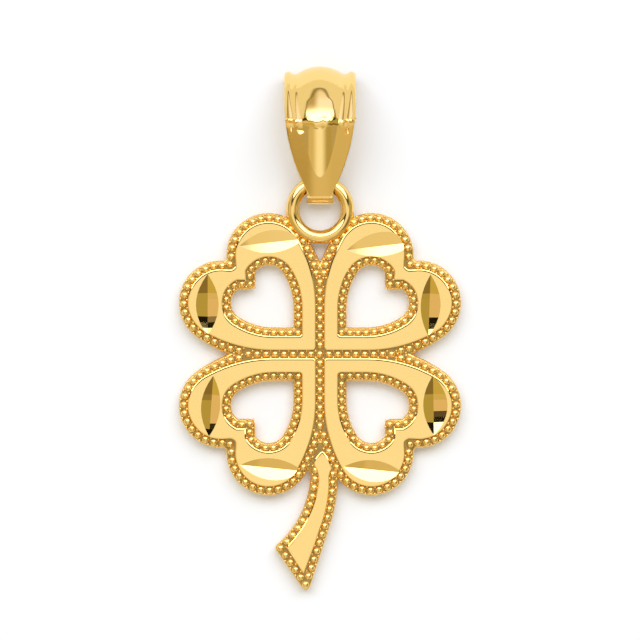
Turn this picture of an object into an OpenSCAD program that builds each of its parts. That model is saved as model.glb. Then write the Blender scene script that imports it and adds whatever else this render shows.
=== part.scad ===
// Four leaf clover pendant of cast yellow gold, lying on its back.
// The clover's crossing is the origin, its flat back is z = 0, the bail points to +Y.

/* [Leaves] */
// Distance from the crossing to the middle of a lobe, along the axis beside it
lobe_near = 2.2; // [2.1:0.05:2.3]
// Distance from the crossing to the middle of a lobe, out along its leaf
lobe_far = 4.23; // [4.1:0.01:4.3]
// Radius of the outer edge round a lobe
lobe_r = 1.8; // [1.7:0.01:1.85]
// Radius of the long curved side between a lobe and the axis
side_r = 6.5; // [6:0.1:7]
// Thickness from the back to the ledge that carries the beads
ledge_z = 0.62; // [0.5:0.01:0.7]
// Height of the polished panels above that ledge
panel_rise = 0.2; // [0.19:0.01:0.3]
// Width of the beaded ledge round each leaf
ledge_w = 0.415; // [0.38:0.005:0.43]
// Width of the beaded ledge along both axes
axis_ledge_w = 0.44; // [0.36:0.01:0.5]

/* [Hearts] */
// Distance from each axis to the straight sides of a heart opening
heart_near = 1.14; // [1.1:0.01:1.2]
// Length of the straight side before it begins to curve
heart_straight = 0.83; // [0.7:0.01:0.9]
// Radius of the long side curve
heart_side_r = 2.75; // [2.6:0.01:2.9]
// Radius of the two lobes of a heart opening
heart_lobe_r = 0.73; // [0.65:0.01:0.75]
// Width of the beaded ledge round a heart opening
heart_ledge_w = 0.41; // [0.38:0.01:0.43]

/* [Beads] */
// Diameter of the beads on the outer rows and the axes
bead_d = 0.31; // [0.26:0.01:0.32]
// Diameter of the beads round the hearts
heart_bead_d = 0.285; // [0.24:0.005:0.3]
// Spacing of the beads along the axes
axis_pitch = 0.383; // [0.37:0.001:0.39]
// Depth of a bead's middle below the ledge
bead_sink = 0.02; // [0:0.005:0.04]

/* [Diamond cuts] */
// Depth of each cut at its middle
cut_depth = 0.17; // [0.12:0.01:0.18]

/* [Stem] */
// Radius of the bead row down the hollow left side
stem_left_r = 4.48; // [4.4:0.01:4.6]
// Radius of the bead row down the rounded right side
stem_right_r = 6.19; // [6.1:0.01:6.3]

/* [Ring] */
// Diameter of the soldered ring, outside
ring_d = 2.93; // [2.8:0.01:3]
// Diameter of its wire
ring_wire_d = 0.585; // [0.54:0.005:0.6]
// Distance from the crossing to the ring's middle
ring_y = 6.177; // [6.15:0.001:6.2]

/* [Bail] */
// Distance from the crossing to the top of the bail, below its dome
bail_top_y = 12.03; // [11.9:0.01:12.1]
// Distance from the crossing to the bottom of the bend under the ring
bail_bend_y = 6.39; // [6.3:0.01:6.4]
// Distance from the crossing to the end of the front tongue
bail_tip_y = 6.62; // [6.58:0.01:6.64]
// Distance from the crossing to the crest, where the front turns over
bail_crest_y = 9.86; // [9.8:0.01:9.9]
// Height of the crest above the back
bail_crest_z = 2.785; // [2.76:0.005:2.81]
// Radius of the bend at the crest
bail_crest_r = 0.31; // [0.31:0.01:0.4]
// Angle between the front and the back
bail_wedge = 23.5; // [23:0.1:24]
// Thickness of the metal
bail_wall = 0.28; // [0.24:0.01:0.29]
// Width at the top
bail_w = 3.04; // [2.8:0.01:3.2]
// Width of the front tongue at its end
tongue_w = 0.78; // [0.7:0.01:0.9]
// Width of the metal that wraps under the ring
wrap_w = 1.13; // [1:0.01:1.15]
// Height of the dome at the top
dome_rise = 0.27; // [0.2:0.01:0.3]
// Width of the dome at the top
dome_w = 2.0; // [1.8:0.05:2.1]
// Distance from the crossing to the dome's lower point
dome_tip_y = 7.555; // [7.4:0.005:7.7]
// Distance along which the dome rises to its full height
dome_run = 3.2; // [3:0.05:3.4]
// Height of the ribs down both edges
rib_rise = 0.14; // [0.08:0.01:0.16]

/* [Hidden] */
GOLD = [0.93, 0.75, 0.38];
LAP = 0.3;

// Points along an arc, from angle a0 to angle a1 in n steps, with the first one left out where skip is 1
function arc(c, r, a0, a1, n, skip = 0) =
    [for (i = [skip:n]) let (a = a0 + (a1 - a0) * i / n) c + r * [cos(a), sin(a)]];
// A path and its mirror image in the leaf's diagonal, joined end to end
function both_halves(p) = concat(p, [for (i = [len(p) - 1:-1:0]) [p[i][1], p[i][0]]]);
// The same path without the doubled point where its halves meet
function whole(p, shared) =
    concat(p, [for (i = [len(p) - (shared ? 2 : 1):-1:0]) [p[i][1], p[i][0]]]);
function turned(p, a) = [for (v = p) [v[0] * cos(a) - v[1] * sin(a), v[0] * sin(a) + v[1] * cos(a)]];
function path_length(p, i = 0) = i > len(p) - 2 ? 0 : norm(p[i + 1] - p[i]) + path_length(p, i + 1);
// The point at distance d along a path
function along(p, d, i = 0) =
    let (s = norm(p[i + 1] - p[i]))
    d <= s || i > len(p) - 3 ? p[i] + (p[i + 1] - p[i]) * d / s : along(p, d - s, i + 1);
// n + 1 points spread evenly over a path
function spread(p, n) = let (l = path_length(p)) [for (k = [0:n]) along(p, l * k / n)];

// Leaves: every line round a leaf is a long side arc that runs smoothly into a lobe arc
LOBE_C = [lobe_near, lobe_far];
OUTER_TURN = 145;
function side_centre(r_side, r_lobe, a) = LOBE_C - (r_side - r_lobe) * [cos(a), sin(a)];
OUTER_C = side_centre(side_r, lobe_r, OUTER_TURN);
NOTCH_END = -4;
NOTCH_ROOT = 4.05;
OUTER_HALF = concat(
    arc(OUTER_C, side_r, acos(-OUTER_C[0] / side_r), OUTER_TURN, 6),
    arc(LOBE_C, lobe_r, OUTER_TURN, NOTCH_END, 16, 1),
    [[NOTCH_ROOT, NOTCH_ROOT]]);
LEAF_EDGE = whole(OUTER_HALF, true);
CLOVER_EDGE = [for (q = [0:3]) each turned([for (i = [0:len(LEAF_EDGE) - 2]) LEAF_EDGE[i]], -90 * q)];

// Panel of a leaf
PANEL_SIDE_R = side_r - 0.7;
PANEL_LOBE_R = lobe_r - ledge_w;
PANEL_X = axis_ledge_w / 2;
PANEL_TURN = 180 - acos((PANEL_X + PANEL_SIDE_R - lobe_near) / (PANEL_SIDE_R - PANEL_LOBE_R));
PANEL_C = side_centre(PANEL_SIDE_R, PANEL_LOBE_R, PANEL_TURN);
PANEL_CORNER_R = 0.1;
NOTCH_BEAD = [3.85, 3.85];
NOTCH_R = 0.29;
PANEL_HALF = concat(
    arc([PANEL_X + PANEL_CORNER_R, PANEL_X + PANEL_CORNER_R], PANEL_CORNER_R, 225, 180, 3),
    arc(PANEL_C, PANEL_SIDE_R, 180, PANEL_TURN, 6),
    arc(LOBE_C, PANEL_LOBE_R, PANEL_TURN, -8, 14, 1),
    arc(NOTCH_BEAD, NOTCH_R, 172, 225, 4));
PANEL_EDGE = whole(PANEL_HALF, true);

// Heart opening, and the same line moved out into the ledge round it. Its tongue is the point
// between the two lobes, which gets sharper further out, and its tip gets rounder.
HEART_LOBE_C = [2.19, 3.07];
TONGUE_AT = 2.77;
TONGUE_SHIFT = 1.1;
TONGUE_R = 0.25;
TONGUE_SHARPEN = 0.55;
LEAST_R = 0.03;
TIP_R = 0.02;
TIP_ROUNDING = 0.3;
function heart_half(out) =
    let (near = heart_near - out,
         bend_y = heart_near + heart_straight,
         side_c = [heart_near + heart_side_r, bend_y],
         lobe_c = HEART_LOBE_C,
         turn = 180 - atan2(lobe_c[1] - side_c[1], side_c[0] - lobe_c[0]),
         tongue_x = TONGUE_AT + TONGUE_SHIFT * out,
         tongue_r = max(LEAST_R, TONGUE_R - TONGUE_SHARPEN * out),
         tip_r = TIP_R + TIP_ROUNDING * out,
         lobe_out = heart_lobe_r + out,
         lobe_end = acos((tongue_x - lobe_c[0]) / lobe_out))
    concat(arc([near + tip_r, near + tip_r], tip_r, 225, 180, 2),
        arc(side_c, heart_side_r + out, 180, turn, 6),
        arc(lobe_c, lobe_out, turn, lobe_end, 9, 1),
        arc([tongue_x + tongue_r, tongue_x + tongue_r], tongue_r, 180, 225, 3));
HEART_EDGE = whole(heart_half(0), true);
HEART_LEDGE = whole(heart_half(heart_ledge_w), true);

// Depth of a cutting wheel's rim, as a multiple of the cut's depth
WHEEL_DEPTH = 2;
// Diamond cuts: x, y, turn, half length, width on the left of its run, width on the right
CUTS = [
    [2.65, 4.62, 6.7, 1.52, 0.6, 0.43],
    [-2.05, 4.77, 6.2, 1.4, 0.53, 0.43],
    [-2.05, -4.87, -5.8, 1.37, 0.42, 0.5],
    [2.27, -4.94, -5.8, 1.28, 0.41, 0.51],
    [-4.8, 2.11, 90, 1.31, 0.5, 0.47],
    [4.68, 2.08, 88, 1.32, 0.38, 0.47],
    [-4.65, -2.22, 86, 1.3, 0.43, 0.39],
    [4.85, -2.19, 91, 1.29, 0.44, 0.6]];

// Stem: the bead row round it, from which its edge and its panel keep an even distance
STEM_OUT = 0.21;
STEM_IN = 0.18;
LEFT_C = [-4.66, -4.93];
RIGHT_C = [-5.64, -5.3];
LEFT_END = -48.35;
RIGHT_END = -19.3;
STEM_CORNER = [-1.69, -8.28];
STEM_TIP = [-0.61, -9.84];
STEM_TOP_Y = -3.7;
LEFT_ROOT = -2.3;
STEM_FILL = [-0.6, -4.85];
function right_top(r) = asin((STEM_TOP_Y - RIGHT_C[1]) / r);
END_NORMAL = let (v = STEM_TIP - STEM_CORNER) atan2(-v[0], v[1]);
STEM_EDGE = concat(
    arc(RIGHT_C, stem_right_r + STEM_OUT, right_top(stem_right_r + STEM_OUT), RIGHT_END, 10),
    arc(STEM_TIP, STEM_OUT, RIGHT_END, END_NORMAL, 6),
    arc(STEM_CORNER, STEM_OUT, END_NORMAL, -180 + LEFT_END, 6),
    arc(LEFT_C, stem_left_r - STEM_OUT, LEFT_END, LEFT_ROOT, 14),
    [STEM_FILL, [STEM_FILL[0], STEM_TOP_Y]]);
STEM_PANEL = concat(
    [[0.11, -4.2], [0.19, -4.25], [0.26, -4.36], [0.37, -4.59], [0.48, -4.87], [0.41, -5.02], [0.355, -5.2]],
    arc(RIGHT_C, stem_right_r - STEM_IN, -3, RIGHT_END, 6),
    [[-0.66, -9.3], [-0.74, -9.3]],
    arc(LEFT_C, stem_left_r + STEM_IN, LEFT_END + 2.5, -6, 12),
    [[-0.03, -5.2], [-0.1, -4.95], [-0.21, -4.77], [-0.21, -4.58], [-0.12, -4.4], [0.02, -4.23]]);

// Bead rows
BEAD_LOBE_R = lobe_r - ledge_w / 2;
BEAD_SIDE_R = side_r - 0.3;
BEAD_TURN = 147.5;
BEAD_C = side_centre(BEAD_SIDE_R, BEAD_LOBE_R, BEAD_TURN);
SPLIT_Y = 3.465;
BEAD_HALF = concat(
    arc(BEAD_C, BEAD_SIDE_R, 180 - asin((SPLIT_Y - BEAD_C[1]) / BEAD_SIDE_R), BEAD_TURN, 8),
    arc(LOBE_C, BEAD_LOBE_R, BEAD_TURN - 1, -2, 24));
// The first beads of two neighbouring leaves stand side by side
BEAD_GAP = 0.01;
LEAF_BEADS = concat(
    both_halves([for (p = spread(BEAD_HALF, 16)) [max(p[0], (bead_d + BEAD_GAP) / 2), p[1]]]),
    [NOTCH_BEAD]);
HEART_ROW = heart_half(heart_ledge_w / 2);
HEART_NOTCH = [2.98, 2.98];
// The row without its tongue, which one bead takes up, and with a square corner at its tip
HEART_CORNER = (heart_near - heart_ledge_w / 2) * [1, 1];
HEART_HALF = spread(
    concat([HEART_CORNER], [for (i = [3:len(HEART_ROW) - 5]) HEART_ROW[i]], [HEART_NOTCH]), 15);
HEART_BEADS = whole(HEART_HALF, true);
AXIS_COUNT = 8;
AXIS_BEADS = concat([[0, 0]],
    [for (q = [0:3]) for (k = [1:AXIS_COUNT]) axis_pitch * k * [cos(90 * q), sin(90 * q)]]);
STEM_BEADS = concat(
    spread(arc(LEFT_C, stem_left_r, -0.4, LEFT_END, 20), 10),
    [for (k = [1:4]) STEM_CORNER + (STEM_TIP - STEM_CORNER) * k / 5],
    [for (i = [0:12]) spread(concat(arc(RIGHT_C, stem_right_r, 1.6, RIGHT_END, 12), [STEM_TIP]), 13)[i]],
    [STEM_TIP]);
// Beads beside the ring stand at its foot and not under it
RING_R = (ring_d - ring_wire_d) / 2;
RING_C = [0, ring_y];
BESIDE_RING = 1.45;
function beside_ring(p) =
    let (v = p - RING_C, d = norm(v)) d < BESIDE_RING ? RING_C + v * BESIDE_RING / d : p;
BORDER_BEADS = concat(AXIS_BEADS, STEM_BEADS,
    [for (q = [0:3]) for (p = turned(LEAF_BEADS, 90 * q)) beside_ring(p)]);
INNER_BEADS = [for (q = [0:3]) each turned(HEART_BEADS, 90 * q)];

// Bail: seen from the side, a straight front runs from the tongue up to the crest and bends over there.
// A nearly straight slope and a rounder one fall to the low nose, and the back runs straight to a
// narrow bend. Angles along the top are those between the metal's face and the table's.
TAN = tan(bail_wedge);
SIN = sin(bail_wedge);
COS = cos(bail_wedge);
CREST_C = [bail_crest_y, bail_crest_z - bail_crest_r];
FRONT_TOP = CREST_C + bail_crest_r * [-SIN, COS];
FRONT_END_Y = FRONT_TOP[0] - FRONT_TOP[1] / TAN;
INNER_END_Y = FRONT_END_Y + bail_wall / SIN;
BEND_R = (bail_bend_y - INNER_END_Y) / (1 / tan(bail_wedge / 2) - 1);
BEND_C = [bail_bend_y + BEND_R, BEND_R];
SLOPE_START = 24.2;
SLOPE_END = 31.8;
SLOPE_END_Y = 11.2;
SLOPE_TOP = CREST_C + bail_crest_r * [sin(SLOPE_START), cos(SLOPE_START)];
SLOPE_R = (SLOPE_END_Y - SLOPE_TOP[0]) / (sin(SLOPE_END) - sin(SLOPE_START));
SLOPE_C = SLOPE_TOP - SLOPE_R * [sin(SLOPE_START), cos(SLOPE_START)];
FALL_R = (bail_top_y - SLOPE_END_Y) / (1 - sin(SLOPE_END));
FALL_C = SLOPE_C + (SLOPE_R - FALL_R) * [sin(SLOPE_END), cos(SLOPE_END)];
NOSE_R = FALL_C[1];
NOSE_C = [bail_top_y - NOSE_R, NOSE_R];
DOWN = [SIN, -COS];
ALONG = [-COS, -SIN];
WRAP_Y = 6.8;
RING_GAP = 0.05;
RING_Z = bail_wall + RING_GAP + ring_wire_d / 2;
function front(y) = [y, (y - FRONT_END_Y) * TAN];
function smooth(t) = let (u = max(0, min(1, t))) u * u * (3 - 2 * u);
// Half the width of the bail at height y: it swells quickly and then runs straight
SWELL_TOP = 10.8;
SWELL_POWER = 2.1;
function half_w(y) =
    let (s = max(0, min(1, (y - bail_tip_y) / (SWELL_TOP - bail_tip_y))))
    tongue_w / 2 + (bail_w - tongue_w) / 2 * (1 - pow(1 - s, SWELL_POWER));

// The dome is a slice of a cylinder that comes out of the front, so its edge is a parabola
MIN_DOME_W = 0.06;
DOME_SPREAD = 0.51;
RIB_START = 9.2;
RIB_FULL = 10;
function dome_half(y) =
    max(MIN_DOME_W, min(dome_w / 2, DOME_SPREAD * sqrt(max(0, y - dome_tip_y))));
function dome_high(y) = dome_rise * max(0, min(1, (y - dome_tip_y) / dome_run));
function rib_high(y) = rib_rise * smooth((y - RIB_START) / (RIB_FULL - RIB_START));

// A station is [outer point, inner point, half width outside, half width inside,
// depth of the step between the two widths, dome half width, dome height, rib height]
function station(o, i, w_out, w_in, step, y, fade) =
    [o, i, w_out, w_in, step, dome_half(y), fade * dome_high(y), fade * rib_high(y)];
// A station on an arc about c, at an angle from +Y up to +Z
function on_arc(c, r, a, fade) =
    let (v = [cos(a), sin(a)], o = c + r * v, w = half_w(o[0]))
    station(o, c + (r - bail_wall) * v, w, w, bail_wall / 2, o[0], fade);
FRONT_STEPS = 14;
CREST_STEPS = 5;
SLOPE_STEPS = 7;
FALL_STEPS = 12;
NOSE_STEPS = 10;
BACK_STEPS = 7;
BEND_STEPS = 8;
// The relief dies away round the nose, between these two angles below it
FADE_FROM = -60;
FADE_TO = -10;
LAST_STEP = 0.02;
DOUBLE = 2 * bail_wall;
FRONT_WALL = [for (k = [0:FRONT_STEPS])
    let (t = k / FRONT_STEPS, y = FRONT_TOP[0] + (WRAP_Y + LAST_STEP - FRONT_TOP[0]) * t, o = front(y))
    station(o, o + bail_wall * DOWN, half_w(y), half_w(y), bail_wall / 2, y, 1)];
TONGUE = [for (y = [WRAP_Y, bail_tip_y])
    let (o = front(y))
    station(o, o + DOUBLE * DOWN, half_w(y), wrap_w / 2, bail_wall, y, 1)];
WRAP = let (o = front(bail_tip_y) + LAST_STEP * ALONG)
    [station(o + bail_wall * DOWN, o + DOUBLE * DOWN, wrap_w / 2, wrap_w / 2, bail_wall / 2, 0, 0)];
BEND = [for (k = [0:BEND_STEPS])
    let (a = 90 + bail_wedge + (180 - bail_wedge) * k / BEND_STEPS, v = [cos(a), sin(a)])
    station(BEND_C + BEND_R * v, BEND_C + (BEND_R - bail_wall) * v,
        wrap_w / 2, wrap_w / 2, bail_wall / 2, 0, 0)];
BACK = [for (k = [1:BACK_STEPS])
    let (y = BEND_C[0] + (NOSE_C[0] - BEND_C[0]) * k / (BACK_STEPS + 1), w = max(wrap_w / 2, half_w(y)))
    station([y, 0], [y, bail_wall], w, w, bail_wall / 2, y, 0)];
NOSE = [for (k = [0:NOSE_STEPS - 1])
    let (a = -90 + 90 * k / NOSE_STEPS)
    on_arc(NOSE_C, NOSE_R, a, smooth((a - FADE_FROM) / (FADE_TO - FADE_FROM)))];
FALL = [for (k = [0:FALL_STEPS - 1]) on_arc(FALL_C, FALL_R, (90 - SLOPE_END) * k / FALL_STEPS, 1)];
SLOPE = [for (k = [0:SLOPE_STEPS - 1])
    on_arc(SLOPE_C, SLOPE_R, 90 - SLOPE_END + (SLOPE_END - SLOPE_START) * k / SLOPE_STEPS, 1)];
CREST = [for (k = [0:CREST_STEPS - 1])
    on_arc(CREST_C, bail_crest_r, 90 - SLOPE_START + (SLOPE_START + bail_wedge) * k / CREST_STEPS, 1)];
STATIONS = concat(FRONT_WALL, TONGUE, WRAP, BEND, BACK, NOSE, FALL, SLOPE, CREST);

// The outline of the metal at a station, as points [x, depth below the outer face]
EDGE_R = 0.05;
RIB_CREST_AT = 0.3;
RIB_FOOT_AT = 0.7;
RIB_EDGE_H = 0.6;
RIB_FOOT_H = 0.3;
function section(s) =
    let (w = s[2], wi = s[3], d = s[4], hd = s[5], hr = s[7], t = norm(s[1] - s[0]),
         rib_x = w - (w - hd) * RIB_CREST_AT, foot_x = w - (w - hd) * RIB_FOOT_AT,
         dome = [for (k = [0.75, 0.5, 0.25]) [k * hd, -s[6] * (1 - k * k)]],
         rib = [[w, EDGE_R], [w - EDGE_R, -hr * RIB_EDGE_H], [rib_x, -hr],
             [foot_x, -hr * RIB_FOOT_H], [hd, 0]],
         half = concat(rib, dome),
         low = [[w, d], [wi, d + 0.02], [wi, t - EDGE_R], [wi - EDGE_R, t]])
    concat([for (k = [len(low) - 1:-1:0]) low[k]], half, [[0, -s[6]]],
        [for (k = [len(half) - 1:-1:0]) [-half[k][0], half[k][1]]],
        [for (k = [0:len(low) - 1]) [-low[k][0], low[k][1]]]);
function ring_points(s) =
    let (v = (s[1] - s[0]) / norm(s[1] - s[0]))
    [for (p = section(s)) let (q = s[0] + p[1] * v) [p[0], q[0], q[1]]];
SIDES = len(section(STATIONS[0]));

module leaf_holes() {
    for (q = [0:3])
        rotate(90 * q)
            translate([0, 0, -LAP])
                linear_extrude(height = ledge_z + panel_rise + 2 * LAP)
                    polygon(HEART_EDGE);
}

module plate() {
    linear_extrude(height = ledge_z) {
        polygon(CLOVER_EDGE);
        polygon(STEM_EDGE);
    }
}

// A wheel with a sharp rim, sunk into the panels by the depth of the cut
module cut(c) {
    rim_r = (c[3] * c[3] + cut_depth * cut_depth) / (2 * cut_depth);
    translate([c[0], c[1], ledge_z + panel_rise - cut_depth + rim_r])
        rotate([0, 0, c[2]])
            rotate([-90, 0, 0])
                rotate_extrude($fn = 180)
                    polygon([[rim_r - WHEEL_DEPTH * cut_depth, -WHEEL_DEPTH * c[5]], [rim_r, 0],
                        [rim_r - WHEEL_DEPTH * cut_depth, WHEEL_DEPTH * c[4]]]);
}

module panels() {
    difference() {
        union() {
            for (q = [0:3])
                rotate(90 * q)
                    translate([0, 0, LAP])
                        linear_extrude(height = ledge_z + panel_rise - LAP)
                            polygon(PANEL_EDGE);
        }
        for (q = [0:3])
            rotate(90 * q)
                linear_extrude(height = ledge_z + panel_rise + LAP)
                    polygon(HEART_LEDGE);
        for (c = CUTS) cut(c);
    }
    translate([0, 0, LAP])
        linear_extrude(height = ledge_z + panel_rise - LAP)
            polygon(STEM_PANEL);
}

module beads(places, d) {
    for (p = places)
        translate([p[0], p[1], ledge_z - bead_sink])
            sphere(d = d, $fn = 24);
}

module ring() {
    translate([0, ring_y, RING_Z])
        rotate_extrude($fn = 64)
            translate([RING_R, 0])
                circle(d = ring_wire_d, $fn = 24);
}

module clover() {
    color(GOLD) {
        difference() {
            plate();
            leaf_holes();
        }
        panels();
        ring();
        beads(BORDER_BEADS, bead_d);
        beads(INNER_BEADS, heart_bead_d);
    }
}

module bail() {
    n = len(STATIONS);
    color(GOLD)
        polyhedron(
            points = [for (s = STATIONS) each ring_points(s)],
            faces = [for (k = [0:n - 1]) for (j = [0:SIDES - 1])
                let (a = k * SIDES, b = (k + 1) % n * SIDES, j2 = (j + 1) % SIDES)
                    each [[a + j, b + j2, a + j2], [a + j, b + j, b + j2]]]);
}

clover();
bail();
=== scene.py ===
"""Dresses the four leaf clover pendant: cast yellow gold, lying on its back on a white table.

Shapes are drawn in millimetres in the pendant's own frame: the clover's crossing is the origin,
its flat back is z = 0 and its bail points to +Y. Each finished mesh is then turned into metres.
"""
from __future__ import annotations

import logging
import math
import random
from dataclasses import dataclass, field
from enum import Enum, IntEnum
from typing import Iterable, Sequence

import bmesh
import bpy
from bmesh.types import BMesh, BMFace
from mathutils import Matrix, Vector


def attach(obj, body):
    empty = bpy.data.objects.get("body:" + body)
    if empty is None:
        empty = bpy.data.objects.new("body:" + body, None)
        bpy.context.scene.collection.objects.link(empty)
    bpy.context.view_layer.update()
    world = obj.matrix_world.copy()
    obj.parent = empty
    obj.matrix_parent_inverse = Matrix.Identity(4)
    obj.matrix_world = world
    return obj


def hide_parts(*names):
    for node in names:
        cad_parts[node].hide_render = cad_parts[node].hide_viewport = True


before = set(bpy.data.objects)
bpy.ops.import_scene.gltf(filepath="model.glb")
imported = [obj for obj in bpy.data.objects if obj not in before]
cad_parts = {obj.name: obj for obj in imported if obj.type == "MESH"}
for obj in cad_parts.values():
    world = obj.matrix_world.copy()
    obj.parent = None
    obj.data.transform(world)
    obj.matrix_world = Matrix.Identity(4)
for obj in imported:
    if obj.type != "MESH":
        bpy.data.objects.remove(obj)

LOG = logging.getLogger("pendant")
MM = 0.001
WELD = 1e-4
UP = Vector((0.0, 0.0, 1.0))


class Slot(Enum):
    """The record's material slots."""

    CLOVER = "clover_gold"
    BAIL = "bail_gold"


class Skin(IntEnum):
    """The finishes on a piece of the clover, in the order of its material slots."""

    FACE = 0
    CUT = 1
    WALL = 2
    LEDGE = 3
    RIM = 4
    BACK = 5


ROUNDED = (Skin.LEDGE, Skin.RIM, Skin.BACK)
Profile = tuple[tuple[float, float, Skin], ...]
Colour = tuple[float, float, float]


@dataclass(frozen=True)
class Band:
    """A stretch of levels, with the softness of its ends."""

    low: float
    high: float
    soft: float


@dataclass(frozen=True)
class Step:
    """A level at which something changes, with its softness."""

    at: float
    soft: float


class Signal:
    """One output of a node, with Python's arithmetic, which adds the Math nodes."""

    def __init__(self, graph: "Graph", socket: bpy.types.NodeSocket) -> None:
        """Wraps an output socket of a graph."""
        self.graph = graph
        self.socket = socket

    def _math(self, operation: str, first: "Value", second: "Value") -> "Signal":
        """Adds one Math node on two values."""
        return self.graph.node("ShaderNodeMath", {"operation": operation}, {0: first, 1: second})

    def __add__(self, other: "Value") -> "Signal":
        """Sum."""
        return self._math("ADD", self, other)

    __radd__ = __add__

    def __sub__(self, other: "Value") -> "Signal":
        """Difference."""
        return self._math("SUBTRACT", self, other)

    def __rsub__(self, other: "Value") -> "Signal":
        """Difference from a plain number."""
        return self._math("SUBTRACT", other, self)

    def __mul__(self, other: "Value") -> "Signal":
        """Product."""
        return self._math("MULTIPLY", self, other)

    __rmul__ = __mul__

    def __truediv__(self, other: "Value") -> "Signal":
        """Quotient."""
        return self._math("DIVIDE", self, other)

    def __rtruediv__(self, other: "Value") -> "Signal":
        """Quotient of a plain number."""
        return self._math("DIVIDE", other, self)

    def __abs__(self) -> "Signal":
        """Absolute value."""
        return self._math("ABSOLUTE", self, 0.0)

    def above(self, low: "Value", soft: float) -> "Signal":
        """0 below a level and 1 above it, with a smooth step between.

        Args:
            low: The middle of the step.
            soft: Half the width of the step.

        Returns:
            The step, from 0 to 1.
        """
        settings = {"interpolation_type": "SMOOTHSTEP"}
        links = {"Value": self - low, "From Min": -soft, "From Max": soft}
        return self.graph.node("ShaderNodeMapRange", settings, links)

    def between(self, low: "Value", high: "Value", soft: float) -> "Signal":
        """1 between two levels and 0 outside them, with smooth steps."""
        return self.above(low, soft) * (1 - self.above(high, soft))

    def within(self, band: "Band") -> "Signal":
        """1 inside a band and 0 outside it, with smooth steps."""
        return self.between(band.low, band.high, band.soft)

    def past(self, step: "Step") -> "Signal":
        """0 before a step and 1 past it."""
        return self.above(step.at, step.soft)


Value = Signal | float


class Graph:
    """The node tree of one material or world, emptied and built up again."""

    def __init__(self, owner: bpy.types.Material | bpy.types.World) -> None:
        """Takes over the owner's node tree."""
        owner.use_nodes = True
        self.tree = owner.node_tree
        self.tree.nodes.clear()

    def node(self, kind: str, settings: dict | None = None, links: dict | None = None,
             output: int | str = 0) -> Signal:
        """Adds a node.

        Args:
            kind: The node's type.
            settings: Its properties, set first.
            links: Its input sockets, by name or number, with values or signals.
            output: The output that is wanted.

        Returns:
            That output.
        """
        return Signal(self, self._add(kind, settings, links).outputs[output])

    def finish(self, kind: str, shader: Signal) -> None:
        """Links a shader to an output node of the given type."""
        self._add(kind, None, {"Surface": shader})

    def _add(self, kind: str, settings: dict | None, links: dict | None) -> bpy.types.Node:
        """Makes a node, sets its properties and then its input sockets."""
        made = self.tree.nodes.new(kind)
        for name, value in (settings or {}).items():
            setattr(made, name, value)
        for name, value in (links or {}).items():
            if isinstance(value, Signal):
                self.tree.links.new(value.socket, made.inputs[name])
            else:
                made.inputs[name].default_value = value
        return made

    def mix(self, factor: Value, low: Signal | Sequence[float], high: Signal | Sequence[float]) -> Signal:
        """Mixes two colours.

        Args:
            factor: 0 for the first colour and 1 for the second.
            low: The first colour.
            high: The second colour.

        Returns:
            The mixed colour.
        """
        settings = {"data_type": "RGBA", "clamp_factor": True}
        ends = [end if isinstance(end, Signal) else rgba(end) for end in (low, high)]
        return self.node("ShaderNodeMix", settings, {0: factor, 6: ends[0], 7: ends[1]}, output=2)

    def noise(self, place: Signal, size_mm: float, detail: float = 2.0) -> Signal:
        """Smooth noise from 0 to 1, with patches of about the given size."""
        links = {"Vector": place, "Scale": 1.0 / (size_mm * MM), "Detail": detail}
        return self.node("ShaderNodeTexNoise", {"noise_dimensions": "3D"}, links)


def rgba(colour: Sequence[float]) -> tuple[float, float, float, float]:
    """A colour with full alpha."""
    return (colour[0], colour[1], colour[2], 1.0)


@dataclass(frozen=True)
class GoldFinish:
    """One finish of the same yellow gold."""

    name: str
    colour: Colour
    shade: Colour
    roughness: float
    roughness_spread: float
    patch_mm: float
    grain_mm: float
    grain_depth: float
    wave_mm: float = 1.2
    wave_depth: float = 0.0

    def material(self) -> bpy.types.Material:
        """Builds the finish as a material: a colour that drifts, uneven polish and a fine grain."""
        made = bpy.data.materials.new(self.name)
        graph = Graph(made)
        place = graph.node("ShaderNodeTexCoord", output="Object")
        patches = graph.noise(place, self.patch_mm, 3.0)
        grain = graph.noise(place, self.grain_mm, 2.0)
        waves = graph.noise(place, self.wave_mm, 1.0)
        colour = graph.mix(patches.within(PATCHES) * PATCH_SHARE, self.colour, self.shade)
        roughness = self.roughness + (patches - 0.5) * self.roughness_spread
        height = grain * self.grain_depth + waves * self.wave_depth
        bump = graph.node("ShaderNodeBump", None, {"Strength": 1.0, "Distance": MM, "Height": height})
        links = {"Base Color": colour, "Metallic": 1.0, "Roughness": roughness, "Normal": bump}
        shader = graph.node("ShaderNodeBsdfPrincipled", None, links)
        graph.finish("ShaderNodeOutputMaterial", shader)
        return made


PATCHES = Band(0.35, 0.75, 0.2)
PATCH_SHARE = 0.6
WHITE = (1.0, 1.0, 1.0)
GOLD = (1.0, 0.716, 0.263)
WARM_GOLD = (0.97, 0.66, 0.22)
DEEP_GOLD = (0.88, 0.55, 0.15)
# The ledge's dark brown golds: partly patina in the hollows, partly painted shade in the crevices between
# the beads and round their feet.
LEDGE_PATINA_SHADE_GOLD = (0.50, 0.335, 0.11)
LEDGE_PATINA_SHADE_BROWN = (0.24, 0.145, 0.04)

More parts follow.
